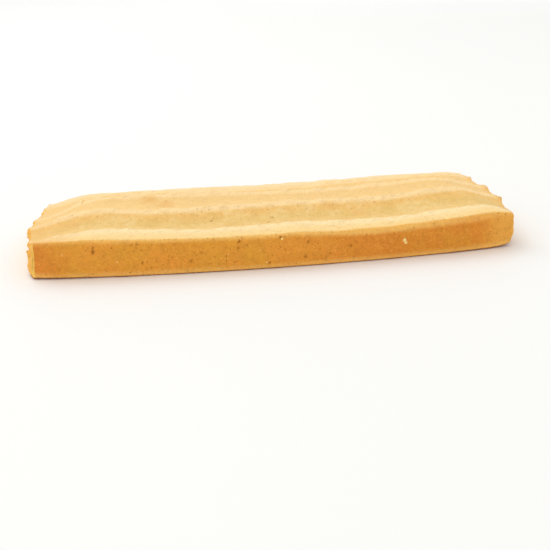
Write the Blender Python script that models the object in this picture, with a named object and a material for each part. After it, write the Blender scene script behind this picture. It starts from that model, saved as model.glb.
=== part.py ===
# A ridged finger biscuit lying flat on its base.
# It is one baked bar with four long ridges, a crowned top, a belly that is wider than
# its square cut ends, and a flat base that curls up a little towards both ends.
# Metres, +Z up, +X along the biscuit; the origin is under the middle of its base.

import math

import bmesh
import bpy
from mathutils import Vector, noise

MM = 0.001

# Driving dimensions
LENGTH = 100.0 * MM
END_WIDTH = 34.4 * MM
BELLY = 6.2 * MM               # extra width half way along
CREST_HEIGHTS = (7.3 * MM, 9.0 * MM, 9.0 * MM, 7.1 * MM)    # near side first
NEAR_EDGE_HEIGHT = 7.0 * MM    # the top edges of the two long sides
FAR_EDGE_HEIGHT = 6.45 * MM
FLUTE_DEPTH = 1.15 * MM        # of the hollow between two crests
CREST_SOFTNESS = 0.14          # 0 is a sharp crest, as a share of half a flute
END_THICKENING = 1.4 * MM      # the top rises this much towards the ends
BASE_LIFT = 0.25 * MM          # the base curls up this much at the ends
BASE_FLAT_LENGTH = 44.0 * MM   # the stretch that lies flat
TOE_LENGTH = 7.0 * MM          # the last stretch of the base, which curls up more
TOP_EDGE_RADIUS = 0.75 * MM
BASE_EDGE_RADIUS = 0.8 * MM

# Each end is cut square, bows out a little and sags where the soft dough was cut.
# The bow's middle is given across the biscuit, from -1 at the near side to 1. Sags and
# their lengths are those of the four ridges, near side first; the side edges sag less,
# by the share that near_firm and far_firm give. The toe is how far the base curls up.
ENDS = {
    "left": {"bow": 2.1 * MM, "bow_middle": 0.1, "undercut": 0.1 * MM, "toe": 0.0,
             "sags": (2.3 * MM, 3.6 * MM, 4.5 * MM, 2.5 * MM),
             "sag_lengths": (20.0 * MM, 20.0 * MM, 20.0 * MM, 18.0 * MM),
             "near_firm": 0.67, "far_firm": 0.1},
    "right": {"bow": 1.7 * MM, "bow_middle": 0.0, "undercut": 0.3 * MM, "toe": 0.6 * MM,
              "sags": (2.5 * MM, 3.2 * MM, 3.2 * MM, 1.8 * MM),
              "sag_lengths": (10.0 * MM, 16.0 * MM, 18.0 * MM, 10.0 * MM),
              "near_firm": 0.6, "far_firm": 0.35},
}
END_FLATTENING = 0.6           # the flutes lose this share of their depth at the ends
END_REACH = 9                  # an odd power: the higher, the shorter the stretch that bows
END_SCALLOP = 0.5 * MM         # each ridge's end stands proud of the valleys beside it
END_CRUMBLE = 0.3 * MM
CRUMBLE_SIZE = 2.2 * MM
SIDE_UNEVENNESS = 0.25 * MM
SIDE_WAVE = 31.0 * MM

# One gentle height wave on each ridge, from the near side to the far side:
# how high it is, how long it is, and where along the biscuit it peaks
RIDGE_WAVES = [
    (0.22 * MM, 31.0 * MM, 40.0 * MM),
    (0.28 * MM, 40.0 * MM, 1.0 * MM),
    (0.40 * MM, 80.0 * MM, -24.0 * MM),
    (0.28 * MM, 54.0 * MM, -24.0 * MM),
]

# Mesh density
CELLS_LONG = 44
CELLS_PER_RIDGE = 8
CELLS_HIGH = 4
EDGE_LOOPS = (0.45, 1.0)       # extra loops beside each edge, in edge radii

CRUST_COLOUR = (0.80, 0.47, 0.15, 1.0)
CRUST_ROUGHNESS = 0.75

RIDGE_COUNT = len(CREST_HEIGHTS)


def clamp(value, low, high):
    return max(low, min(high, value))


def smooth_step(value):
    value = clamp(value, 0.0, 1.0)
    return value * value * (3.0 - 2.0 * value)


def levels(cells, size, radius):
    """Positions from -1 to 1: even cells, with the extra loops beside both edges."""
    even = [2.0 * i / cells - 1.0 for i in range(1, cells)]
    near_edge = [1.0 - 2.0 * radius * loop / size for loop in EDGE_LOOPS]
    inner = [value for value in even if abs(value) < near_edge[-1] - 0.2 / cells]
    return sorted([-1.0, 1.0] + near_edge + [-value for value in near_edge] + inner)


def half_width(x):
    along = 2.0 * x / LENGTH
    return 0.5 * END_WIDTH + 0.5 * BELLY * (1.0 - along * along)


def blend_ridges(values, across):
    """A value that each ridge has, blended evenly from one crest to the next."""
    position = clamp(0.5 * (across + 1.0) * RIDGE_COUNT - 0.5, 0.0, RIDGE_COUNT - 1.0)
    first = min(int(position), RIDGE_COUNT - 2)
    share = position - first
    return values[first] * (1.0 - share) + values[first + 1] * share


def flute(across):
    """0 on each ridge's crest and 1 along the bottom of the hollow between two."""
    place = 0.5 * (across + 1.0) * RIDGE_COUNT - 0.5
    from_crest = 2.0 * abs(place - round(place))
    soft = CREST_SOFTNESS
    rise = (math.hypot(from_crest, soft) - soft) / (math.hypot(1.0, soft) - soft)
    return 1.0 - (1.0 - rise) ** 2


def ridge_wave(x, across):
    heights = []
    for height, length, peak in RIDGE_WAVES:
        heights.append(height * math.cos(2.0 * math.pi * (x - peak) / length))
    return blend_ridges(heights, across)


def end_values(x):
    return ENDS["left"] if x < 0.0 else ENDS["right"]


def base_height(x):
    beyond = max(0.0, abs(x) - 0.5 * BASE_FLAT_LENGTH)
    share = beyond / (0.5 * (LENGTH - BASE_FLAT_LENGTH))
    near_end = clamp(1.0 - (0.5 * LENGTH - abs(x)) / TOE_LENGTH, 0.0, 1.0)
    return BASE_LIFT * share * share + end_values(x)["toe"] * near_end * near_end


def top_height(x, across):
    height = blend_ridges(CREST_HEIGHTS, across)
    outer_crest = 1.0 - 1.0 / RIDGE_COUNT
    beyond = clamp((abs(across) - outer_crest) * RIDGE_COUNT, 0.0, 1.0)
    if beyond > 0.0:
        edge_height = NEAR_EDGE_HEIGHT if across < 0.0 else FAR_EDGE_HEIGHT
        height += (edge_height - height) * beyond * beyond
    end = end_values(x)
    sag_length = blend_ridges(end["sag_lengths"], across)
    near_end = smooth_step(1.0 - (0.5 * LENGTH - abs(x)) / sag_length)
    if beyond == 0.0:
        height -= FLUTE_DEPTH * flute(across) * (1.0 - END_FLATTENING * near_end)
    height += END_THICKENING * (2.0 * x / LENGTH) ** 2
    firm = end["near_firm"] if across < 0.0 else end["far_firm"]
    sag = blend_ridges(end["sags"], across) * (1.0 - firm * beyond * beyond)
    height -= sag * near_end * near_end
    return height + ridge_wave(x, across) * (1.0 - near_end) * (1.0 - beyond)


def end_recess(x, across, up):
    """How far the end face stands back from the full length."""
    end = end_values(x)
    recess = end["bow"] * (across - end["bow_middle"]) ** 2
    return recess + END_SCALLOP * flute(across) + end["undercut"] * (1.0 - up) ** 2


def rounded(point, low, high, radius):
    """Pulls a point of a box's surface onto the box's rounded edges."""
    inner = Vector([clamp(point[i], low[i] + radius, high[i] - radius) for i in range(3)])
    away = point - inner
    if away.length < 1e-9:
        return point
    return inner + away * (radius / away.length)


def surface_point(along, across, up):
    """The place on the crust of a point on the cube from -1 to 1."""
    up_share = 0.5 * (up + 1.0)
    x = along * 0.5 * LENGTH
    side = half_width(x)
    low = base_height(x)
    high = top_height(x, across)
    point = Vector((x, across * side, low + up_share * (high - low)))
    radius = TOP_EDGE_RADIUS if up_share > 0.5 else BASE_EDGE_RADIUS
    box_low = (-0.5 * LENGTH, -side, low)
    box_high = (0.5 * LENGTH, side, high)
    point = rounded(point, box_low, box_high, radius)
    point.x -= along ** END_REACH * end_recess(x, across, up_share)
    if abs(across) > 0.99 and abs(up) < 0.99:
        wave = math.sin(2.0 * math.pi * x / SIDE_WAVE + across)
        point.y += SIDE_UNEVENNESS * wave * math.sin(math.pi * up_share)
    if abs(along) > 0.99:
        crumble = noise.noise(point / CRUMBLE_SIZE)
        point.x -= along * END_CRUMBLE * abs(crumble)
    return point


def add_face_grid(mesh, vertices, corner, first, second, shape):
    """Quads on one face of the cube lattice, wound so that they point outwards."""
    for i in range(shape[first] - 1):
        for j in range(shape[second] - 1):
            keys = []
            for step_i, step_j in ((0, 0), (1, 0), (1, 1), (0, 1)):
                key = list(corner)
                key[first] = i + step_i
                key[second] = j + step_j
                keys.append(tuple(key))
            mesh.faces.new([vertices[key] for key in keys])


def crust_mesh():
    """The closed skin: a cube lattice whose surface points lie on the crust."""
    along_levels = levels(CELLS_LONG, LENGTH, TOP_EDGE_RADIUS)
    across_levels = levels(CELLS_PER_RIDGE * RIDGE_COUNT, END_WIDTH, TOP_EDGE_RADIUS)
    up_levels = levels(CELLS_HIGH, NEAR_EDGE_HEIGHT, BASE_EDGE_RADIUS)
    axes = (along_levels, across_levels, up_levels)
    shape = [len(axis) for axis in axes]
    mesh = bmesh.new()
    vertices = {}
    for i, along in enumerate(along_levels):
        for j, across in enumerate(across_levels):
            for k, up in enumerate(up_levels):
                if 1.0 in (abs(along), abs(across), abs(up)):
                    point = surface_point(along, across, up)
                    vertices[(i, j, k)] = mesh.verts.new(point)
    for axis, first, second in ((0, 1, 2), (1, 2, 0), (2, 0, 1)):
        far = [0, 0, 0]
        far[axis] = shape[axis] - 1
        add_face_grid(mesh, vertices, far, first, second, shape)
        add_face_grid(mesh, vertices, [0, 0, 0], second, first, shape)
    inset = len(EDGE_LOOPS)
    base_verts = []
    for i in range(inset, shape[0] - inset):
        for j in range(inset, shape[1] - inset):
            base_verts.append(vertices[(i, j, 0)])
    merge_base_strips(mesh, base_verts)
    return mesh


def merge_base_strips(mesh, base_verts):
    """The base is level or bends one way only, so its faces join up into long strips."""
    members = set(base_verts)
    base_edges = [e for e in mesh.edges if all(v in members for v in e.verts)]
    bmesh.ops.dissolve_limit(mesh, angle_limit=math.radians(0.05),
                             verts=base_verts, edges=base_edges)
    bmesh.ops.triangulate(mesh, faces=[f for f in mesh.faces if len(f.verts) > 4])


def centre(mesh):
    """Puts the middle of the outline over the origin."""
    for axis in (0, 1):
        places = [vert.co[axis] for vert in mesh.verts]
        middle = 0.5 * (min(places) + max(places))
        for vert in mesh.verts:
            vert.co[axis] -= middle


def crust_material():
    material = bpy.data.materials.new("baked_crust")
    material.use_nodes = True
    shader = material.node_tree.nodes["Principled BSDF"]
    shader.inputs["Base Color"].default_value = CRUST_COLOUR
    shader.inputs["Roughness"].default_value = CRUST_ROUGHNESS
    shader.inputs["Metallic"].default_value = 0.0
    return material


def build_biscuit():
    mesh = crust_mesh()
    centre(mesh)
    bmesh.ops.recalc_face_normals(mesh, faces=mesh.faces)
    data = bpy.data.meshes.new("biscuit")
    mesh.to_mesh(data)
    mesh.free()
    data.shade_smooth()
    data.set_sharp_from_angle(angle=math.radians(50.0))
    data.materials.append(crust_material())
    biscuit = bpy.data.objects.new("biscuit", data)
    bpy.context.scene.collection.objects.link(biscuit)
    return biscuit


for old in list(bpy.data.objects):
    bpy.data.objects.remove(old)

build_biscuit()
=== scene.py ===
import math
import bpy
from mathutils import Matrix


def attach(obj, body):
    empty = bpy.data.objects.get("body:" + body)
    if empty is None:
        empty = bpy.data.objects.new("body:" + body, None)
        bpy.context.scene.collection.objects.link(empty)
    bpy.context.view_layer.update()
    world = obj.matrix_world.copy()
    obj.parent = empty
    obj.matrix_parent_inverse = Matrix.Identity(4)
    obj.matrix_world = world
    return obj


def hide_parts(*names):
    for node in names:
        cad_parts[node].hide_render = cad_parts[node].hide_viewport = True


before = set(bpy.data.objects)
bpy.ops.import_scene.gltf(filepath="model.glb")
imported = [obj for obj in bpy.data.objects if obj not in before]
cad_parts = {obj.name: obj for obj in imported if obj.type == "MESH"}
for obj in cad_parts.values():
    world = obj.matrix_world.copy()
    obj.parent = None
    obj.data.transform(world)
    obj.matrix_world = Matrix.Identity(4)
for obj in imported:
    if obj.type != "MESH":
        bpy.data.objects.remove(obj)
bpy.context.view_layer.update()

from types import SimpleNamespace

import bpy
from mathutils import Matrix, Vector

print("frame loaded:", sorted(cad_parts))

mm = 0.001
ridgeCount = 4


# Tree maths, for geometry and for materials

class Wire:
    # a node's output socket, which can be used in sums like a number

    def __init__(self, tree, socket):
        self.tree = tree
        self.socket = socket

    def maths(self, operation, *values):
        return addNode(self.tree, "ShaderNodeMath", {"operation": operation}, list(values))

    def __add__(self, other):
        return self.maths("ADD", self, other)

    def __radd__(self, other):
        return self.maths("ADD", other, self)

    def __sub__(self, other):
        return self.maths("SUBTRACT", self, other)

    def __rsub__(self, other):
        return self.maths("SUBTRACT", other, self)

    def __mul__(self, other):
        return self.maths("MULTIPLY", self, other)

    def __rmul__(self, other):
        return self.maths("MULTIPLY", other, self)

    def __truediv__(self, other):
        return self.maths("DIVIDE", self, other)

    def __rtruediv__(self, other):
        return self.maths("DIVIDE", other, self)

    def __pow__(self, power):
        return self.maths("POWER", self, power)

    def __abs__(self):
        return self.maths("ABSOLUTE", self)

    def atLeast(self, low):
        return self.maths("MAXIMUM", self, low)

    def atMost(self, high):
        return self.maths("MINIMUM", self, high)

    def clamped(self):
        return self.atLeast(0.0).atMost(1.0)

    def above(self, value):
        return self.maths("GREATER_THAN", self, value)

    def below(self, value):
        return self.maths("LESS_THAN", self, value)

    def smooth(self, start, end):
        # 0 before start, 1 after end, with a soft change between them
        share = ((self - start) / (end - start)).clamped()
        return share * share * (3.0 - 2.0 * share)


def addNode(tree, kind, settings=None, values=None, output=0):
    # settings first, then the sockets: a list goes by place, a dictionary by name or place
    node = tree.nodes.new(kind)
    for name, value in (settings or {}).items():
        setattr(node, name, value)
    pairs = values.items() if isinstance(values, dict) else enumerate(values or [])
    for key, value in pairs:
        fillSocket(tree, node.inputs[key], value)
    return Wire(tree, node.outputs[output])


def fillSocket(tree, socket, value):
    if isinstance(value, Wire):
        tree.links.new(value.socket, socket)
    elif isinstance(value, list):
        for wire in value:
            tree.links.new(wire.socket, socket)
    elif value is not None:
        socket.default_value = value


def vectorMaths(tree, operation, *values):
    return addNode(tree, "ShaderNodeVectorMath", {"operation": operation}, list(values))


def joinAxes(tree, x, y, z):
    return addNode(tree, "ShaderNodeCombineXYZ", None, [x, y, z])


def scaled(tree, vector, factor):
    return vectorMaths(tree, "MULTIPLY", vector, joinAxes(tree, factor, factor, factor))


def splitAxes(tree, vector):
    return [addNode(tree, "ShaderNodeSeparateXYZ", None, [vector], i) for i in range(3)]


def noise(tree, place, size, detail=2.0, warp=0.0):
    # about -1 to 1; size is how wide a typical lump is, in metres
    lumps = addNode(tree, "ShaderNodeTexNoise", None,
                    {"Vector": place, "Scale": 1.0 / size, "Detail": detail, "Distortion": warp})
    return lumps * 2.0 - 1.0


def cellPattern(tree, place, size, output="Distance"):
    # scattered cells: the distance to the nearest middle, in cell sizes, or the cell's own colour
    return addNode(tree, "ShaderNodeTexVoronoi", None,
                   {"Vector": place, "Scale": 1.0 / size}, output)


def mixColours(tree, share, first, second):
    # the colour sockets go by place, because their names repeat
    return addNode(tree, "ShaderNodeMix", {"data_type": "RGBA"},
                   {0: share, 6: first, 7: second}, 2)


def linear(red, green, blue):
    # a colour as seen on a screen, from 0 to 255, made linear for Blender
    def one(value):
        value = value / 255.0
        return value / 12.92 if value <= 0.04045 else ((value + 0.055) / 1.055) ** 2.4
    return (one(red), one(green), one(blue), 1.0)


def crestCount(across):
    # across the biscuit, 0 on the near side's crest, 1 on the next, and so on
    return (across + 1.0) * (0.5 * ridgeCount) - 0.5


def offCrest(across):
    # how far past the nearest crest: 0 on it, and -0.5 and 0.5 half way to the next ones
    place = crestCount(across)
    return place - place.maths("ROUND", place)


# Materials

crustLook = {
    "crest": linear(255, 221, 161),         # the palest skin, on the ridges
    # the near ridge's crest, with a painted highlight
    "nearCrestHighlight": linear(255, 230, 176),
    "nearWarm": linear(252, 217, 150),      # the near ridge towards the side, where its painted highlight fades
    "farRim": linear(254, 230, 192),
    "flank": linear(248, 208, 139),
    # the hollow at the near side: partly greener, less browned dough, partly painted shade
    "nearFlankShade": linear(245, 197, 117),
    "valleyShade": linear(237, 198, 121),
    "hollowPale": linear(243, 213, 149),    # the blotches in the hollow at the near side
    "hollowDark": linear(221, 184, 96),
    "toasted": linear(238, 186, 108),
    "endTop": linear(240, 186, 104),
    "edge": linear(254, 216, 144),          # the turn from the top into the sides
    "side": linear(233, 159, 54),
    "sideTop": linear(255, 199, 106),
    "sideLowLit": linear(255, 202, 108),       # the strip just above the base, paler, partly painted light against the contact shade there
    "sideDark": linear(220, 134, 42),
    "sideWarm": linear(238, 150, 56),
    "sideOlive": linear(222, 161, 48),
    "sideRed": linear(236, 135, 50),        # the near side's left corner
    "sideEnd": linear(240, 172, 74),
    "cut": linear(255, 200, 90),            # the crumb of the end faces
    "cutDark": linear(226, 140, 44),
    "tornEdge": linear(255, 212, 104),
    "under": linear(196, 120, 48),
    "pore": linear(152, 86, 4),
    "speck": linear(168, 98, 6),
    "pale": linear(255, 220, 140),          # floury grains, on the top and on the sides
    "sidePale": linear(255, 194, 82),
    "sugar": linear(255, 231, 170),
    "roughness": 0.62, "roughnessSpread": 0.12,
    "specular": 0.20,
    "broadSize": 14.0 * mm, "warmthSize": 8.0 * mm, "blotchSize": 4.5 * mm,
    "fineSize": 1.1 * mm, "grainSize": 0.42 * mm,
    "speckCell": 0.80 * mm, "dustCell": 0.42 * mm,
    "holeDisc": (0.27, 0.08),               # in cells: its rim, and where it is full
    "sugarDisc": (0.24, 0.06), "dustDisc": (0.40, 0.10),
    "holeChance": (0.01, 0.39),             # for each cell, and what rough skin adds
    "sugarChance": (0.10, 0.12), "dustChance": (0.06, 0.36), "flourChance": (0.12, 0.28),
    "coarseMiddle": -0.12,                  # where along the biscuit the specks are coarsest
    "crestReach": 0.26, "nearCrestReach": 0.10, "crestBlur": 0.24,
    "bumpStrength": 0.9, "bumpDepth": 0.14 * mm,
    "middleHeight": 3.8 * mm,               # half the height of the sides
    "lowStrip": (1.7 * mm, 0.1 * mm),       # where the paler strips start and are full
    "upperStrip": (6.4 * mm, 7.6 * mm),
}
crustBands = {          # where each stretch starts and where it is full, from -1 to 1
    "nearHollow": (-0.12, -0.38),
    "nearRidge": (-0.665, -0.735),
    "nearFloor": (-0.52, -0.64),
    "nearEdge": (-0.74, -0.92),
    "nearCorner": (-0.70, -0.86),
    "nearHalf": (-0.15, -0.45),
    "farRim": (0.72, 0.92),
    "rim": (0.88, 0.965),
    "sides": (0.972, 0.998),
    "leftFade": (-0.72, -0.98),
    "leftToast": (-0.80, -0.96),
    "leftRed": (-0.84, -0.97),
    "leftTorn": (-0.981, -0.987),
    "darkerStretchStart": (0.0, 0.35),
    "darkerStretchStop": (0.78, 0.95),
    "rightEnd": (0.80, 0.93),
    "coarse": (0.65, 0.20),
    "nearEnds": (0.50, 0.85),
    "tips": (0.95, 0.985),
    "ends": (0.984, 0.994),
    "base": (-0.965, -0.998),
}


def readAttribute(tree, name, output="Fac"):
    return addNode(tree, "ShaderNodeAttribute", {"attribute_name": name}, None, output)


def startMaterial(name):
    material = bpy.data.materials.new(name)
    material.use_nodes = True
    tree = material.node_tree
    return material, tree, tree.nodes["Principled BSDF"]


def readCrust(tree, look, bands):
    # the patterns and the places on the crust that its colours follow
    on = SimpleNamespace()
    on.spot = addNode(tree, "ShaderNodeTexCoord", None, None, "Object")
    on.along, on.across, on.up, on.pore, on.toast = [
        readAttribute(tree, name) for name in ("along", "across", "up", "pore", "toast")]
    on.broad = noise(tree, on.spot, look["broadSize"], 2.0, 0.3)
    on.blotch = noise(tree, on.spot, look["blotchSize"], 3.0, 0.4)
    on.fine = noise(tree, on.spot, look["fineSize"], 3.0)
    on.grain = noise(tree, on.spot, look["grainSize"], 3.0)
    on.nearHollow = (on.across + on.blotch * 0.05).smooth(*bands["nearHollow"])
    on.nearRidge = (on.across + on.fine * 0.012).smooth(*bands["nearRidge"])
    on.inHollow = on.nearHollow * (1.0 - on.nearRidge)
    on.rim = (abs(on.across) + on.blotch * 0.012).smooth(*bands["rim"])
    on.sideness = (abs(on.across) + on.blotch * 0.004).smooth(*bands["sides"])
    on.leftFade = (on.along - on.blotch * 0.05).smooth(*bands["leftFade"])
    rough = on.sideness + on.inHollow * 0.35 * (1.0 - on.rim) + on.nearRidge * 0.22
    on.rough = rough.clamped()
    on.pale = mixColours(tree, on.sideness, look["pale"], look["sidePale"])
    return on


def crestColour(tree, look, bands, on):
    # the near ridge carries a painted highlight, brightest on its crest and fading towards the
    # side, and is more floury than the others
    highlightFade = (on.across - on.fine * 0.02).smooth(*bands["nearEdge"])
    near = mixColours(tree, highlightFade, look["nearCrestHighlight"], look["nearWarm"])
    spots = on.grain * 0.8 + on.fine * 0.6
    near = mixColours(tree, spots.clamped() * 0.6, near, look["sugar"])
    near = mixColours(tree, (spots * -1.0).clamped() * 0.6, near, look["nearFlankShade"])
    return mixColours(tree, on.nearRidge, look["crest"], near)


def flankColour(tree, look, bands, on, fromCrest, pastCrest):
    # warm flanks, and in the hollow at the near side a greyer, blotchy colour that is partly less
    # browned dough and partly painted shade; a milder painted shade lies just past every crest
    valleyness = (fromCrest + on.blotch * 0.12).smooth(0.35, 0.95)
    flank = mixColours(tree, on.nearHollow, look["flank"], look["nearFlankShade"])
    flank = mixColours(tree, valleyness * on.nearHollow, flank, look["valleyShade"])
    nearFloor = (on.across + on.fine * 0.02).smooth(*bands["nearFloor"]) * on.inHollow
    flank = mixColours(tree, nearFloor * 0.45, flank, look["hollowPale"])
    paler = (on.blotch * 1.1 + on.fine * 0.8).clamped() * on.inHollow
    flank = mixColours(tree, paler, flank, look["hollowPale"])
    darker = (on.blotch * -1.1 + on.grain * 0.5).clamped() * on.inHollow * 0.7
    flank = mixColours(tree, darker, flank, look["hollowDark"])
    # painted shade, milder, just past every crest
    behind = pastCrest.smooth(0.02, 0.12) * (1.0 - pastCrest.smooth(0.16, 0.40))
    return mixColours(tree, behind * (1.0 - on.nearRidge) * 0.55, flank, look["valleyShade"])


def topColour(tree, look, bands, on):
    pastCrest = offCrest(on.across)
    fromCrest = abs(pastCrest) * 2.0 * abs(on.across).below(0.75)
    reach = look["crestReach"]
    reach = on.nearRidge * (look["nearCrestReach"] - reach) + reach
    past = (fromCrest + on.blotch * 0.10 - reach) / look["crestBlur"]
    crestness = 1.0 - (past + 0.5).smooth(0.0, 1.0)
    top = mixColours(tree, crestness.atLeast(on.nearRidge),
                     flankColour(tree, look, bands, on, fromCrest, pastCrest),
                     crestColour(tree, look, bands, on))
    toasting = on.toast * 0.7 + (on.broad + on.blotch * 0.6).smooth(0.30, 1.0) * 0.35
    top = mixColours(tree, toasting.clamped(), top, look["toasted"])
    fadeShare = 0.15 + on.across.smooth(*bands["nearHalf"]) * 0.35
    fadeShare = fadeShare + on.across.smooth(*bands["nearCorner"]) * 0.45
    top = mixColours(tree, on.leftFade * fadeShare, top, look["endTop"])
    top = mixColours(tree, on.across.smooth(*bands["farRim"]) * 0.35, top, look["farRim"])
    tips = (abs(on.along) + on.blotch * 0.01).smooth(*bands["tips"])
    return mixColours(tree, tips * (1.0 - on.leftFade) * 0.5, top, look["endTop"])


def sideColour(tree, look, bands, on):
    # golden brown, darker along a stretch in the right half, and lighter at the top edge, along
    # the base (partly painted light against the contact shade there) and at the right end
    along, blotch, fine = on.along, on.blotch, on.fine
    height = (on.up + 1.0) * look["middleHeight"]
    # darker along a stretch in the right half of the sides
    darkerStretch = along.smooth(*bands["darkerStretchStart"]) * (1.0 - along.smooth(*bands["darkerStretchStop"]))
    tone = 0.22 + on.broad * 0.4 + blotch * 0.5 + fine * 0.15 + darkerStretch * 0.5
    tone = (tone + along.smooth(*bands["leftToast"]) * 0.4).clamped()
    side = mixColours(tree, tone, look["side"], look["sideDark"])
    warmth = noise(tree, on.spot, look["warmthSize"], 3.0, 0.5)
    side = mixColours(tree, (warmth * 1.6).clamped() * 0.7, side, look["sideWarm"])
    side = mixColours(tree, (warmth * -1.6).clamped() * 0.7, side, look["sideOlive"])
    redCorner = (along + blotch * 0.03).smooth(*bands["leftRed"])
    side = mixColours(tree, redCorner * 0.45, side, look["sideRed"])
    rightEnd = (along + blotch * 0.03).smooth(*bands["rightEnd"])
    side = mixColours(tree, rightEnd * 0.8, side, look["sideEnd"])
    # paler along the base, partly painted light against the contact shade there
    low = (height + fine * 0.35 * mm).smooth(*look["lowStrip"])
    side = mixColours(tree, low * 0.85, side, look["sideLowLit"])
    side = mixColours(tree, on.toast * 0.5, side, look["sideDark"])
    upperEdge = height + blotch * 0.3 * mm + darkerStretch * 0.7 * mm
    upperEdge = upperEdge.smooth(*look["upperStrip"])
    edgeShare = 0.82 - abs(along).smooth(*bands["nearEnds"]) * 0.32
    return mixColours(tree, upperEdge * edgeShare, side, look["sideTop"])


def addEndsAndBase(tree, look, bands, on, colour):
    # the cut ends show the crumb, and the underside is baked darker
    blotch, fine, grain = on.blotch, on.fine, on.grain
    cut = mixColours(tree, (fine * 0.6 + grain * 0.4 + 0.3).clamped(), look["cut"],
                     look["cutDark"])
    endness = (abs(on.along) + fine * 0.003).smooth(*bands["ends"])
    colour = mixColours(tree, endness, colour, cut)
    tornWidth = (1.0 - on.up) ** 1.5 * 0.0035 + fine * 0.006 + grain * 0.003
    torn = (on.along - tornWidth).smooth(*bands["leftTorn"]) * on.sideness
    colour = mixColours(tree, torn * on.across.below(0.0) * 0.85, colour, look["tornEdge"])
    under = mixColours(tree, (blotch * 0.6 + fine * 0.4 + 0.4).clamped(), look["under"],
                       look["sideDark"])
    underness = (on.up - fine * 0.02).smooth(*bands["base"])
    return mixColours(tree, underness, colour, under)


def addSpecks(tree, look, bands, on, colour):
    # pin-sized holes and pale grains; returns the colour and the specks' own relief
    def chance(name, roughness):
        return look[name][0] + roughness * look[name][1]

    rough = on.rough
    distance = cellPattern(tree, on.spot, look["speckCell"])
    pick, size, kind = splitAxes(tree, cellPattern(tree, on.spot, look["speckCell"], "Color"))
    calm = 1.0 - abs(on.along).smooth(*bands["nearEnds"]) * 0.6
    holeShare = (on.sideness + on.inHollow * (1.0 - on.rim) * 0.40).clamped() * calm
    hole = distance.smooth(*look["holeDisc"]) * pick.below(chance("holeChance", holeShare))
    hole = hole * (size * 0.7 + 0.3)
    sugar = distance.smooth(*look["sugarDisc"]) * kind
    sugar = sugar * pick.above(1.0 - chance("sugarChance", rough))

    distance = cellPattern(tree, on.spot, look["dustCell"])
    pick, size, kind = splitAxes(tree, cellPattern(tree, on.spot, look["dustCell"], "Color"))
    dot = distance.smooth(*look["dustDisc"])
    coarse = abs(on.along - look["coarseMiddle"]).smooth(*bands["coarse"])
    dust = dot * pick.below(chance("dustChance", rough) + rough * coarse * 0.20)
    dust = dust * size * (0.50 + coarse * 0.30)
    flour = dot * pick.above(1.0 - chance("flourChance", rough)) * kind

    colour = mixColours(tree, (hole * 0.68).clamped(), colour, look["speck"])
    colour = mixColours(tree, dust, colour, look["speck"])
    colour = mixColours(tree, flour * (0.35 + rough * 0.35), colour, on.pale)
    sugarTone = mixColours(tree, on.sideness * 0.7, look["sugar"], look["sidePale"])
    colour = mixColours(tree, sugar * (0.7 - on.sideness * 0.2), colour, sugarTone)
    poreShare = (on.pore * 1.3).clamped() * (0.72 + on.sideness * 0.2)
    colour = mixColours(tree, poreShare, colour, look["pore"])
    return colour, sugar * 0.6 - hole * 0.8 - dust * 0.5


def addMottling(tree, look, on, colour):
    # paler and darker patches over everything
    mottle = on.blotch * 0.5 + on.fine * 0.7 + on.grain * 0.6
    paler = (mottle - 0.05).clamped() * (0.20 + on.sideness * 0.20)
    darker = (mottle * -1.0 - 0.05).clamped() * (0.16 + on.sideness * 0.14)
    colour = mixColours(tree, paler, colour, on.pale)
    colour = mixColours(tree, darker, colour, look["speck"])
    light = 1.0 + on.fine * (0.04 + on.rough * 0.05) + on.grain * (0.04 + on.rough * 0.09)
    return scaled(tree, colour, light + on.broad * 0.02)


def makeCrust(look, bands):
    material, tree, shader = startMaterial("bakedCrust")
    on = readCrust(tree, look, bands)
    edge = mixColours(tree, on.leftFade * 0.85, look["edge"], look["endTop"])
    colour = mixColours(tree, on.rim, topColour(tree, look, bands, on), edge)
    colour = mixColours(tree, on.sideness, colour, sideColour(tree, look, bands, on))
    colour = addEndsAndBase(tree, look, bands, on, colour)
    colour, speckRelief = addSpecks(tree, look, bands, on, colour)
    colour = addMottling(tree, look, on, colour)
    tree.links.new(colour.socket, shader.inputs["Base Color"])
    roughness = look["roughness"] + (on.fine * 0.6 + on.blotch * 0.4) * look["roughnessSpread"]
    tree.links.new(roughness.socket, shader.inputs["Roughness"])
    shader.inputs["Specular IOR Level"].default_value = look["specular"]
    relief = on.grain * 0.7 + on.fine * 0.5 + speckRelief
    bump = addNode(tree, "ShaderNodeBump", None,
                   {"Strength": look["bumpStrength"], "Distance": look["bumpDepth"],
                    "Height": relief}, "Normal")
    tree.links.new(bump.socket, shader.inputs["Normal"])
    return material


grainLook = {
    "gold": linear(246, 180, 72), "pale": linear(255, 220, 140),
    "roughness": 0.5,
    "mottleSize": 0.5 * mm, "mottling": 0.25,
}


def makeGrainMaterial(look):
    material, tree, shader = startMaterial("looseGrain")
    spot = addNode(tree, "ShaderNodeTexCoord", None, None, "Object")
    mottle = noise(tree, spot, look["mottleSize"], 2.0) * look["mottling"]
    tone = (readAttribute(tree, "tone") + mottle).clamped()
    colour = mixColours(tree, tone, look["gold"], look["pale"])
    tree.links.new(colour.socket, shader.inputs["Base Color"])
    shader.inputs["Roughness"].default_value = look["roughness"]
    return material


floorLook = {
    "pale": linear(250, 250, 247), "cloudy": linear(247, 247, 244),
    "cloudSize": 0.25,
    "roughness": 0.55, "specular": 0.2,
    "farGlow": 0.16,                        # keeps the floor bright where the lamp is far
    "glowStart": 0.35, "glowFull": 1.3,     # metres from the middle
}


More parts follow.
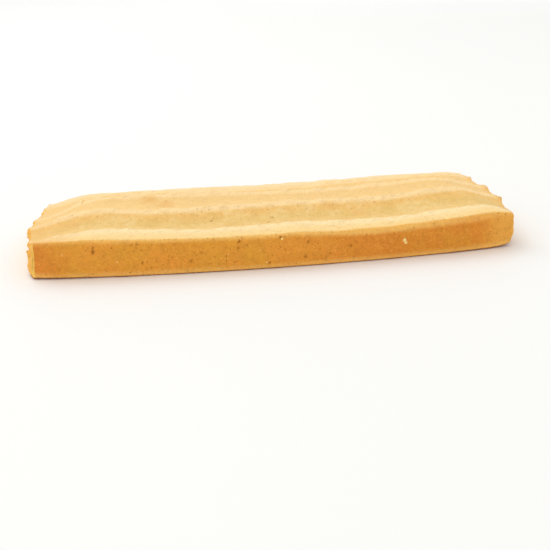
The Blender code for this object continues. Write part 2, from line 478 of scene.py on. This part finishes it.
def makeFloorMaterial(look):
    material, tree, shader = startMaterial("paleFloor")
    spot = addNode(tree, "ShaderNodeTexCoord", None, None, "Object")
    cloud = (noise(tree, spot, look["cloudSize"], 2.0) * 0.5 + 0.5).clamped()
    colour = mixColours(tree, cloud, look["pale"], look["cloudy"])
    tree.links.new(colour.socket, shader.inputs["Base Color"])
    shader.inputs["Roughness"].default_value = look["roughness"]
    shader.inputs["Specular IOR Level"].default_value = look["specular"]
    distance = addNode(tree, "ShaderNodeVectorMath", {"operation": "LENGTH"}, [spot], "Value")
    glow = distance.smooth(look["glowStart"], look["glowFull"]) * look["farGlow"]
    tree.links.new(joinAxes(tree, glow, glow, glow).socket, shader.inputs["Emission Color"])
    shader.inputs["Emission Strength"].default_value = 1.0
    return material


crust = makeCrust(crustLook, crustBands)
grain = makeGrainMaterial(grainLook)
print("materials made")


# The biscuit's form: a fine cube lattice is bent onto the crust by the same rules as the solid

biscuitForm = {
    "length": 100.0 * mm,
    "endWidth": 34.4 * mm,
    "belly": 6.2 * mm,                  # extra width half way along
    "crest1": 7.3 * mm,                 # the ridges' heights, the near side's first
    "crest2": 9.0 * mm,
    "crest3": 9.0 * mm,
    "crest4": 7.1 * mm,
    "nearEdgeHeight": 7.0 * mm,
    "farEdgeHeight": 6.45 * mm,
    "fluteDepth": 1.15 * mm,
    "endThickening": 1.4 * mm,
    "baseLift": 0.25 * mm,
    "baseFlatLength": 44.0 * mm,
    "toeLength": 7.0 * mm,              # the last stretch of the base, which curls up more
    "leftToe": 0.0,
    "rightToe": 0.6 * mm,
    "topEdgeRadius": 0.75 * mm,
    "baseEdgeRadius": 0.8 * mm,
    "leftBow": 2.1 * mm,
    "rightBow": 1.7 * mm,
    "leftBowMiddle": 0.1,               # across the biscuit, from -1 to 1
    "rightBowMiddle": 0.0,
    "leftUndercut": 0.1 * mm,
    "rightUndercut": 0.3 * mm,
    "leftSag1": 2.3 * mm,               # how far each ridge sags at its end
    "leftSag2": 3.6 * mm,
    "leftSag3": 4.5 * mm,
    "leftSag4": 2.5 * mm,
    "leftSagLength1": 20.0 * mm,        # and over which length
    "leftSagLength2": 20.0 * mm,
    "leftSagLength3": 20.0 * mm,
    "leftSagLength4": 18.0 * mm,
    "leftNearFirm": 0.67,               # the side edges sag less, by this share
    "leftFarFirm": 0.1,
    "rightSag1": 2.5 * mm,
    "rightSag2": 3.2 * mm,
    "rightSag3": 3.2 * mm,
    "rightSag4": 1.45 * mm,
    "rightSagLength1": 10.0 * mm,
    "rightSagLength2": 16.0 * mm,
    "rightSagLength3": 18.0 * mm,
    "rightSagLength4": 10.0 * mm,
    "rightNearFirm": 0.6,
    "rightFarFirm": 0.45,
    "endFlattening": 0.6,
    "endScallop": 0.5 * mm,
    "sideUnevenness": 0.25 * mm,
    "unevenness": 0.40 * mm,            # small relief of the skin
    "unevenSize": 7.0 * mm,
    "ripple": 0.16 * mm,
    "rippleSize": 3.0 * mm,
    "grain": 0.045 * mm,
    "grainSize": 1.1 * mm,
    "cornerKick": 0.95 * mm,            # the left end's near corner, lengthened at the base
    "nearDip": 0.35 * mm,               # the near side is a little low in its right half
    "crestTear": 0.95 * mm,             # the crests are a little ragged
    "tearSize": 2.0 * mm,
    "tearLevel": 0.12,                  # the pattern's value that moves nothing
    "leftCrumb": 0.48 * mm,             # the torn crumb of the end faces
    "rightCrumb": 0.30 * mm,
    "crumbSize": 1.5 * mm,
    "crumbLevel": 0.45,
    "fineCrumb": 0.12 * mm,
    "fineCrumbSize": 0.8 * mm,
    "leftChip": 0.75 * mm,              # and its chips
    "rightChip": 0.30 * mm,
    "chipSize": 3.2 * mm,
    "chipLevel": 0.05,
    "poreDepth": 0.7,                   # as a share of the pore's radius
    "poreRaggedness": 0.5,
    "poreNoise": 0.5 * mm,
    "sidePores": 6500.0,                # for each square metre
    "topPores": 400.0,
    "smallestPore": 0.24 * mm,
    "largestPore": 0.42 * mm,
    "patchRaggedness": 0.6,
    "patchNoise": 2.5 * mm,
    "cellsLong": 318, "cellsAcross": 118, "cellsHigh": 22,
}
crestSoftness = 0.14                    # 0 is a sharp crest
endReach = 9.0                          # how near the ends their shape starts
sideWave = 31.0 * mm
topLevel = 0.97                         # the lattice's faces lie beyond this
poreSeed = 11
formBands = {           # where each stretch starts and where it is full, from -1 to 1
    "dipStart": (0.02, 0.30),
    "dipStop": (0.86, 0.99),
    "dipNear": (-0.45, -0.80),
    "nearCorner": (-0.2, -1.0),
    "fewerPores": (0.55, 0.85),
    "endFaces": (0.982, 0.999),
    "base": (-0.90, -0.98),
    "besideCrest": (0.17, 0.0),         # in ridges, from the crest
}
ridgeWaves = [                          # height, length and peak of each ridge's wave
    (0.26 * mm, 36.0 * mm, 41.0 * mm),
    (0.28 * mm, 40.0 * mm, 1.0 * mm),
    (0.40 * mm, 80.0 * mm, -24.0 * mm),
    (0.28 * mm, 54.0 * mm, -24.0 * mm),
]
markedPores = [                         # the ones that catch the eye: x, y, z and radius in mm
    (-35.4, -18.9, 5.4, 0.52), (-35.3, -18.9, 6.1, 0.34), (-28.0, -19.3, 6.5, 0.34),
    (-26.3, -19.4, 2.7, 0.38), (-17.0, -19.8, 2.7, 0.34), (-14.8, -19.9, 4.2, 0.34),
    (-7.9, -20.3, 4.8, 0.40), (-7.7, -20.3, 6.0, 0.34), (-2.1, -20.4, 1.4, 0.34),
    (0.2, -20.4, 6.4, 0.32), (5.0, -20.3, 2.1, 0.44), (5.6, -20.2, 5.1, 0.36),
    (14.0, -19.8, 3.5, 0.36), (-22.3, -13.2, 7.5, 0.42), (-12.4, -9.2, 7.2, 0.36),
    (-1.2, -12.2, 6.9, 0.42), (-0.1, -9.8, 7.2, 0.32), (5.0, -13.3, 7.3, 0.44),
    (13.6, -12.7, 7.2, 0.34),
]
toastedPatches = [                      # the same, for browner stretches of skin
    (-24.9, 2.9, 9.0, 3.4), (-21.6, 0.7, 8.3, 3.0), (-39.9, -8.0, 7.7, 2.6),
    (-42.8, -17.9, 2.8, 4.0), (-46.3, -17.3, 6.1, 4.2), (11.9, -7.2, 8.1, 2.4),
    (22.4, -19.8, 5.2, 3.6), (17.7, -9.7, 7.1, 2.8),
]


def startTree(name, sizes, extras=()):
    # a geometry tree with a named input for each size; returns it and its wires by name
    tree = bpy.data.node_groups.new(name, "GeometryNodeTree")
    face = tree.interface
    face.new_socket(name="Geometry", in_out="OUTPUT", socket_type="NodeSocketGeometry")
    for key, value in sizes.items():
        kind = "NodeSocketInt" if isinstance(value, int) else "NodeSocketFloat"
        face.new_socket(name=key, in_out="INPUT", socket_type=kind)
    for key, kind in extras:
        face.new_socket(name=key, in_out="INPUT", socket_type=kind)
    source = tree.nodes.new("NodeGroupInput")
    wires = {socket.name: Wire(tree, socket) for socket in source.outputs if socket.name}
    return tree, wires


def growPiece(name, tree, values):
    # runs the tree on an empty object and keeps the result as a plain mesh
    piece = bpy.data.objects.new(name, bpy.data.meshes.new(name))
    bpy.context.scene.collection.objects.link(piece)
    modifier = piece.modifiers.new("growth", "NODES")
    modifier.node_group = tree
    for item in tree.interface.items_tree:
        if item.in_out == "INPUT" and item.name in values:
            modifier[item.identifier] = values[item.name]
    graph = bpy.context.evaluated_depsgraph_get()
    mesh = bpy.data.meshes.new_from_object(piece.evaluated_get(graph),
                                           preserve_all_data_layers=True, depsgraph=graph)
    piece.modifiers.clear()
    piece.data = mesh
    mesh.name = name
    mesh.shade_smooth()
    print(name, "has", sum(len(face.vertices) - 2 for face in mesh.polygons), "triangles")
    return piece


def endTree(tree, geometry, material):
    plain = addNode(tree, "GeometryNodeRealizeInstances", None, {"Geometry": geometry})
    done = addNode(tree, "GeometryNodeSetMaterial", None,
                   {"Geometry": plain, "Material": material})
    tree.links.new(done.socket, tree.nodes.new("NodeGroupOutput").inputs[0])


def blendRidges(values, place):
    # each ridge's value, blended evenly from one crest to the next
    total = values[0]
    for i in range(1, ridgeCount):
        total = total + (values[i] - values[i - 1]) * (place - (i - 1.0)).clamped()
    return total


def fluteShape(across):
    # 0 on a crest and 1 along the bottom of the hollow between two
    fromCrest = abs(offCrest(across)) * 2.0
    rise = (fromCrest * fromCrest + crestSoftness ** 2) ** 0.5 - crestSoftness
    left = 1.0 - rise / (math.hypot(1.0, crestSoftness) - crestSoftness)
    return 1.0 - left * left


def bySide(x, form, name):
    left, right = form["left" + name], form["right" + name]
    return x.below(0.0) * (left - right) + right


def ridgesBySide(x, form, name):
    return [bySide(x, form, "%s%d" % (name, i + 1)) for i in range(ridgeCount)]


def topHeight(x, along, across, form):
    place = crestCount(across)
    height = blendRidges([form["crest%d" % (i + 1)] for i in range(ridgeCount)], place)
    outerCrest = 1.0 - 1.0 / ridgeCount
    beyond = ((abs(across) - outerCrest) * float(ridgeCount)).clamped()
    farEdge = form["farEdgeHeight"]
    edge = across.below(0.0) * (form["nearEdgeHeight"] - farEdge) + farEdge
    height = height + (edge - height) * beyond * beyond
    fromEnd = 0.5 * form["length"] - abs(x)
    sagLength = blendRidges(ridgesBySide(x, form, "SagLength"), place)
    nearEnd = (1.0 - fromEnd / sagLength).smooth(0.0, 1.0)
    flute = fluteShape(across) * abs(across).below(outerCrest)
    height = height - flute * form["fluteDepth"] * (1.0 - form["endFlattening"] * nearEnd)
    height = height + along * along * form["endThickening"]
    farFirm = bySide(x, form, "FarFirm")
    firm = across.below(0.0) * (bySide(x, form, "NearFirm") - farFirm) + farFirm
    sag = blendRidges(ridgesBySide(x, form, "Sag"), place) * (1.0 - firm * beyond * beyond)
    height = height - sag * nearEnd * nearEnd
    dip = along.smooth(*formBands["dipStart"]) * (1.0 - along.smooth(*formBands["dipStop"]))
    height = height - form["nearDip"] * dip * across.smooth(*formBands["dipNear"])
    waves = []
    for high, length, peak in ridgeWaves:
        turn = (x - peak) * (2.0 * math.pi / length)
        waves.append(turn.maths("COSINE", turn) * high)
    return height + blendRidges(waves, place) * (1.0 - nearEnd) * (1.0 - beyond)


def crustPlace(tree, form, along, across, up):
    # where a point of the lattice from -1 to 1 lies on the crust
    upShare = (up + 1.0) * 0.5
    halfLength = 0.5 * form["length"]
    x = along * halfLength
    side = 0.5 * form["endWidth"] + (1.0 - along * along) * (0.5 * form["belly"])
    beyond = (abs(x) - 0.5 * form["baseFlatLength"]).atLeast(0.0)
    share = beyond / (0.5 * (form["length"] - form["baseFlatLength"]))
    nearEnd = (1.0 - (halfLength - abs(x)) / form["toeLength"]).clamped()
    low = share * share * form["baseLift"] + bySide(x, form, "Toe") * nearEnd * nearEnd
    high = topHeight(x, along, across, form)
    point = joinAxes(tree, x, across * side, low + upShare * (high - low))

    # the box's edges are rounded
    lowerRadius = form["baseEdgeRadius"]
    radius = up.above(0.0) * (form["topEdgeRadius"] - lowerRadius) + lowerRadius
    lowest = joinAxes(tree, radius - halfLength, radius - side, low + radius)
    highest = joinAxes(tree, halfLength - radius, side - radius, high - radius)
    inner = vectorMaths(tree, "MINIMUM", vectorMaths(tree, "MAXIMUM", point, lowest), highest)
    away = vectorMaths(tree, "NORMALIZE", vectorMaths(tree, "SUBTRACT", point, inner))
    point = vectorMaths(tree, "ADD", inner, scaled(tree, away, radius))

    # the end faces bow and scallop, and the sides swell a little
    lower = 1.0 - upShare
    fromMiddle = across - bySide(x, form, "BowMiddle")
    recess = bySide(x, form, "Bow") * fromMiddle * fromMiddle
    recess = recess + fluteShape(across) * form["endScallop"]
    recess = recess + bySide(x, form, "Undercut") * lower * lower
    nearLeft = x.below(0.0) * across.smooth(*formBands["nearCorner"])
    recess = recess - nearLeft * lower ** 1.5 * form["cornerKick"]
    pull = along.maths("SIGN", along) * abs(along) ** endReach * recess
    turn = x * (2.0 * math.pi / sideWave) + across
    rise = upShare * math.pi
    swell = turn.maths("SINE", turn) * rise.maths("SINE", rise)
    swell = swell * abs(across).above(0.99) * form["sideUnevenness"]
    return vectorMaths(tree, "ADD", point, joinAxes(tree, 0.0 - pull, swell, 0.0))


def storeValue(tree, geometry, name, value):
    return addNode(tree, "GeometryNodeStoreNamedAttribute",
                   {"data_type": "FLOAT", "domain": "POINT"},
                   {"Geometry": geometry, "Name": name, "Value": value})


def namedValue(tree, name):
    return addNode(tree, "GeometryNodeInputNamedAttribute", {"data_type": "FLOAT"},
                   {"Name": name})


def alongNormal(tree, geometry, distance):
    normal = addNode(tree, "GeometryNodeInputNormal")
    return addNode(tree, "GeometryNodeSetPosition", None,
                   {"Geometry": geometry, "Offset": scaled(tree, normal, distance)})


def markPoints(tree, marks):
    # one loose point for each mark
    points = []
    for x, y, z, radius in marks:
        points.append(addNode(tree, "GeometryNodePoints", None,
                              {"Count": 1, "Position": (x * mm, y * mm, z * mm),
                               "Radius": radius * mm}))
    return points


def snapTo(tree, points, shape):
    # moves each point to the nearest place on the skin
    nearest = addNode(tree, "GeometryNodeProximity", {"target_element": "FACES"}, {0: shape},
                      "Position")
    return addNode(tree, "GeometryNodeSetPosition", None,
                   {"Geometry": points, "Position": nearest})


def nearness(tree, points, ragged):
    # 1 in the middle of the nearest point's disc, 0 from its rim outwards
    distance = addNode(tree, "GeometryNodeProximity", {"target_element": "POINTS"},
                       {0: points}, "Distance")
    index = addNode(tree, "GeometryNodeSampleNearest", {"domain": "POINT"}, {0: points})
    radius = addNode(tree, "GeometryNodeSampleIndex", {"data_type": "FLOAT", "domain": "POINT"},
                     {"Geometry": points, "Value": addNode(tree, "GeometryNodeInputRadius"),
                      "Index": index})
    return (1.0 - distance * (1.0 + ragged) / radius).smooth(0.0, 1.0), radius


def randomShare(tree, seed):
    return addNode(tree, "FunctionNodeRandomValue", {"data_type": "FLOAT"},
                   {"Min": 0.0, "Max": 1.0, "Seed": seed}, 1)


def randomVector(tree, low, high, seed):
    return addNode(tree, "FunctionNodeRandomValue", {"data_type": "FLOAT_VECTOR"},
                   {0: joinAxes(tree, low, low, low), 1: joinAxes(tree, high, high, high),
                    "Seed": seed})


def skinRelief(tree, form, place, along, across, up):
    # the skin's small unevenness, ragged crests, and the torn crumb of the ends
    notBase = 1.0 - up.smooth(*formBands["base"])
    lumps = noise(tree, place, form["unevenSize"], 2.0) * form["unevenness"]
    lumps = lumps + noise(tree, place, form["rippleSize"], 1.0) * form["ripple"]
    grain = noise(tree, place, form["grainSize"], 2.0) * form["grain"]
    onCrest = abs(offCrest(across)).smooth(*formBands["besideCrest"])
    onCrest = onCrest * up.above(topLevel) * abs(across).below(0.8)
    tear = (noise(tree, place, form["tearSize"], 2.0) - form["tearLevel"]) * form["crestTear"]
    lumps = lumps + tear * onCrest

    endness = abs(along).smooth(*formBands["endFaces"])
    crumbs = form["crumbLevel"] - cellPattern(tree, place, form["crumbSize"])
    crumbs = crumbs * bySide(along, form, "Crumb")
    crumbs = crumbs + noise(tree, place, form["fineCrumbSize"], 2.0) * form["fineCrumb"]
    chips = noise(tree, place, form["chipSize"], 2.0) - form["chipLevel"]
    chips = chips.atLeast(0.0) * 2.0 * bySide(along, form, "Chip")
    return (lumps + grain) * notBase + (crumbs - chips) * endness


def makeBiscuit():
    tree, form = startTree("biscuitForm", biscuitForm, [("material", "NodeSocketMaterial")])
    lattice = addNode(tree, "GeometryNodeMeshCube", None,
                      {"Size": (2.0, 2.0, 2.0), "Vertices X": form["cellsLong"],
                       "Vertices Y": form["cellsAcross"], "Vertices Z": form["cellsHigh"]})
    corner = addNode(tree, "GeometryNodeInputPosition")
    shape = lattice
    for name, value in zip(("along", "across", "up"), splitAxes(tree, corner)):
        shape = storeValue(tree, shape, name, value)
    along, across, up = [namedValue(tree, name) for name in ("along", "across", "up")]
    shape = addNode(tree, "GeometryNodeSetPosition", None,
                    {"Geometry": shape, "Position": crustPlace(tree, form, along, across, up)})

    # the middle of the outline goes over the origin
    low = addNode(tree, "GeometryNodeBoundBox", None, {"Geometry": shape}, "Min")
    high = addNode(tree, "GeometryNodeBoundBox", None, {"Geometry": shape}, "Max")
    middle = vectorMaths(tree, "ADD", low, high)
    shape = addNode(tree, "GeometryNodeSetPosition", None,
                    {"Geometry": shape,
                     "Offset": vectorMaths(tree, "MULTIPLY", middle, (-0.5, -0.5, 0.0))})

    # pores, pressed in, and toasted patches, which only colour the skin
    place = addNode(tree, "GeometryNodeInputPosition")
    isSide = abs(across).above(topLevel)
    isTop = up.above(topLevel)
    calm = 1.0 - abs(along).smooth(*formBands["fewerPores"]) * 0.6
    density = (isSide * form["sidePores"] + isTop * form["topPores"]) * calm
    scattered = addNode(tree, "GeometryNodeDistributePointsOnFaces",
                        {"distribute_method": "RANDOM"},
                        {"Mesh": shape, "Density": density, "Seed": poreSeed}, "Points")
    chance = randomShare(tree, poreSeed)
    width = form["smallestPore"] + (form["largestPore"] - form["smallestPore"]) * chance ** 3.0
    scattered = addNode(tree, "GeometryNodeSetPointRadius", None,
                        {"Points": scattered, "Radius": width})
    marked = addNode(tree, "GeometryNodeJoinGeometry", None,
                     {"Geometry": markPoints(tree, markedPores)})
    pores = addNode(tree, "GeometryNodeJoinGeometry", None,
                    {"Geometry": [snapTo(tree, marked, shape), scattered]})
    ragged = noise(tree, place, form["poreNoise"], 1.0) * form["poreRaggedness"]
    poreness, poreRadius = nearness(tree, pores, ragged)
    shape = storeValue(tree, shape, "pore", poreness)
    patches = addNode(tree, "GeometryNodeJoinGeometry", None,
                      {"Geometry": markPoints(tree, toastedPatches)})
    ragged = noise(tree, place, form["patchNoise"], 2.0) * form["patchRaggedness"]
    toasting = nearness(tree, patches, ragged)[0]
    shape = storeValue(tree, shape, "toast", toasting)

    relief = skinRelief(tree, form, place, along, across, up)
    relief = relief - poreness * poreRadius * form["poreDepth"]
    shape = alongNormal(tree, shape, relief)
    endTree(tree, shape, form["material"])
    return growPiece("biscuitCrust", tree, dict(biscuitForm, material=crust))


biscuit = makeBiscuit()


# Loose grains and crumbs that cling to the crust

grainForm = {
    "sideGrains": 15000.0,              # for each square metre
    "topGrains": 7000.0,
    "endGrains": 260000.0,
    "smallestGrain": 0.10 * mm,
    "largestGrain": 0.24 * mm,
    "endCrumb": 0.28 * mm,              # the largest radius on the cut ends
    "lowest": 0.7 * mm,                 # none lies nearer the floor than this
    "flattest": 0.65,                   # how far a grain is squashed or drawn out
    "longest": 1.25,
    "roughness": 0.10 * mm,
    "roughSize": 0.35 * mm,
    "toneSpread": 0.45,                 # a grain's tone is 0 for gold and 1 for pale
    "topTone": 0.5,
    "endTone": 0.25,
    "markedTone": 0.9,
    "endsBeyond": 0.988,                # where the end faces and the sides begin, up to 1
    "sidesBeyond": 0.985,
}
grainSeed = 5
fullTurn = 6.28
markedGrains = [                        # x, y, z and radius in millimetres
    (24.6, -19.75, 3.9, 0.44), (24.85, -19.75, 3.35, 0.36), (0.5, -20.3, 6.0, 0.26),
    (-2.6, -20.4, 1.5, 0.20), (-31.0, -19.0, 3.2, 0.18),
]


def makeGrains(carrier):
    tree, form = startTree("grainForm", grainForm,
                           [("carrier", "NodeSocketObject"), ("material", "NodeSocketMaterial")])
    shape = addNode(tree, "GeometryNodeObjectInfo", None, {"Object": form["carrier"]},
                    "Geometry")
    along, across, up = [namedValue(tree, name) for name in ("along", "across", "up")]
    isEnd = abs(along).above(form["endsBeyond"])
    isSide = abs(across).above(form["sidesBeyond"]) * (1.0 - isEnd)
    isTop = up.above(topLevel) * (1.0 - isEnd)
    height = splitAxes(tree, addNode(tree, "GeometryNodeInputPosition"))[2]
    density = isSide * form["sideGrains"] + isTop * form["topGrains"] + isEnd * form["endGrains"]
    density = density * height.above(form["lowest"])
    points = addNode(tree, "GeometryNodeDistributePointsOnFaces", {"distribute_method": "RANDOM"},
                     {"Mesh": shape, "Density": density, "Seed": grainSeed}, "Points")
    largest = form["largestGrain"] + isEnd * (form["endCrumb"] - form["largestGrain"])
    width = form["smallestGrain"] + (largest - form["smallestGrain"]) * (
        randomShare(tree, grainSeed) ** 2.0)
    points = addNode(tree, "GeometryNodeSetPointRadius", None,
                     {"Points": points, "Radius": width})
    tone = randomShare(tree, grainSeed + 1) * form["toneSpread"]
    tone = tone + isTop * form["topTone"] + isEnd * form["endTone"]
    points = storeValue(tree, points, "tone", tone)
    marked = addNode(tree, "GeometryNodeJoinGeometry", None,
                     {"Geometry": markPoints(tree, markedGrains)})
    marked = storeValue(tree, snapTo(tree, marked, shape), "tone", form["markedTone"])
    points = addNode(tree, "GeometryNodeJoinGeometry", None, {"Geometry": [marked, points]})
    ball = addNode(tree, "GeometryNodeMeshIcoSphere", None, {"Radius": 1.0, "Subdivisions": 2})
    radius = addNode(tree, "GeometryNodeInputRadius")
    turn = randomVector(tree, 0.0, fullTurn, grainSeed)
    stretch = randomVector(tree, form["flattest"], form["longest"], grainSeed + 2)
    grains = addNode(tree, "GeometryNodeInstanceOnPoints", None,
                     {"Points": points, "Instance": ball, "Rotation": turn,
                      "Scale": scaled(tree, stretch, radius)})
    grains = addNode(tree, "GeometryNodeRealizeInstances", None, {"Geometry": grains})
    place = addNode(tree, "GeometryNodeInputPosition")
    bumps = noise(tree, place, form["roughSize"], 1.0) * form["roughness"]
    grains = alongNormal(tree, grains, bumps)
    endTree(tree, grains, form["material"])
    return growPiece("surfaceGrains", tree, dict(grainForm, carrier=carrier, material=grain))


grains = makeGrains(biscuit)


# Floor, light and camera

cameraView = {          # fitted to the photograph, in a frame of 550 by 550
    "focalPixels": 832.8, "frame": 550.0,
    "distance": 180.10 * mm,
    "azimuth": math.radians(-5.88), "elevation": math.radians(20.66),
    "roll": math.radians(-2.02),
    "right": 1.28 * mm, "up": -8.32 * mm,
}
studio = {
    "floorSize": 6.0,
    "worldStrength": 0.85, "worldColour": (1.0, 1.0, 1.0, 1.0),
    "keyPlace": (-0.35, 0.35, 0.75), "keySize": 0.7, "keyWatts": 2.5,
}


def makeFloor(values):
    half = 0.5 * values["floorSize"]
    mesh = bpy.data.meshes.new("floor")
    mesh.from_pydata([(-half, -half, 0.0), (half, -half, 0.0), (half, half, 0.0),
                      (-half, half, 0.0)], [], [(0, 1, 2, 3)])
    mesh.materials.append(makeFloorMaterial(floorLook))
    floor = bpy.data.objects.new("floor", mesh)
    bpy.context.scene.collection.objects.link(floor)
    return floor


def makeLights(values):
    world = bpy.data.worlds.new("studio")
    bpy.context.scene.world = world
    world.use_nodes = True
    background = world.node_tree.nodes["Background"]
    background.inputs["Color"].default_value = values["worldColour"]
    background.inputs["Strength"].default_value = values["worldStrength"]
    lamp = bpy.data.lights.new("key", "AREA")
    lamp.size = values["keySize"]
    lamp.energy = values["keyWatts"]
    key = bpy.data.objects.new("key", lamp)
    key.location = values["keyPlace"]
    key.rotation_euler = (-Vector(values["keyPlace"])).to_track_quat("-Z", "Y").to_euler()
    bpy.context.scene.collection.objects.link(key)


def makeCamera(view):
    ce, se = math.cos(view["elevation"]), math.sin(view["elevation"])
    ca, sa = math.cos(view["azimuth"]), math.sin(view["azimuth"])
    back = Vector((sa * ce, -ca * ce, se))
    right = (-back).cross(Vector((0.0, 0.0, 1.0))).normalized()
    up = right.cross(-back)
    cr, sr = math.cos(view["roll"]), math.sin(view["roll"])
    right, up = right * cr + up * sr, up * cr - right * sr
    lens = bpy.data.cameras.new("camera")
    lens.sensor_width = 36.0
    lens.lens = view["focalPixels"] / view["frame"] * lens.sensor_width
    lens.clip_start = 0.01
    camera = bpy.data.objects.new("camera", lens)
    turn = Matrix((right, up, back)).transposed().to_4x4()
    place = back * view["distance"] + right * view["right"] + up * view["up"]
    camera.matrix_world = Matrix.Translation(place) @ turn
    bpy.context.scene.collection.objects.link(camera)
    bpy.context.scene.camera = camera


floor = makeFloor(studio)
makeLights(studio)
makeCamera(cameraView)
bpy.context.scene.view_settings.view_transform = "Standard"
print("floor, light and camera placed")

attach(biscuit, "root")
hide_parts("biscuit")
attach(grains, "root")
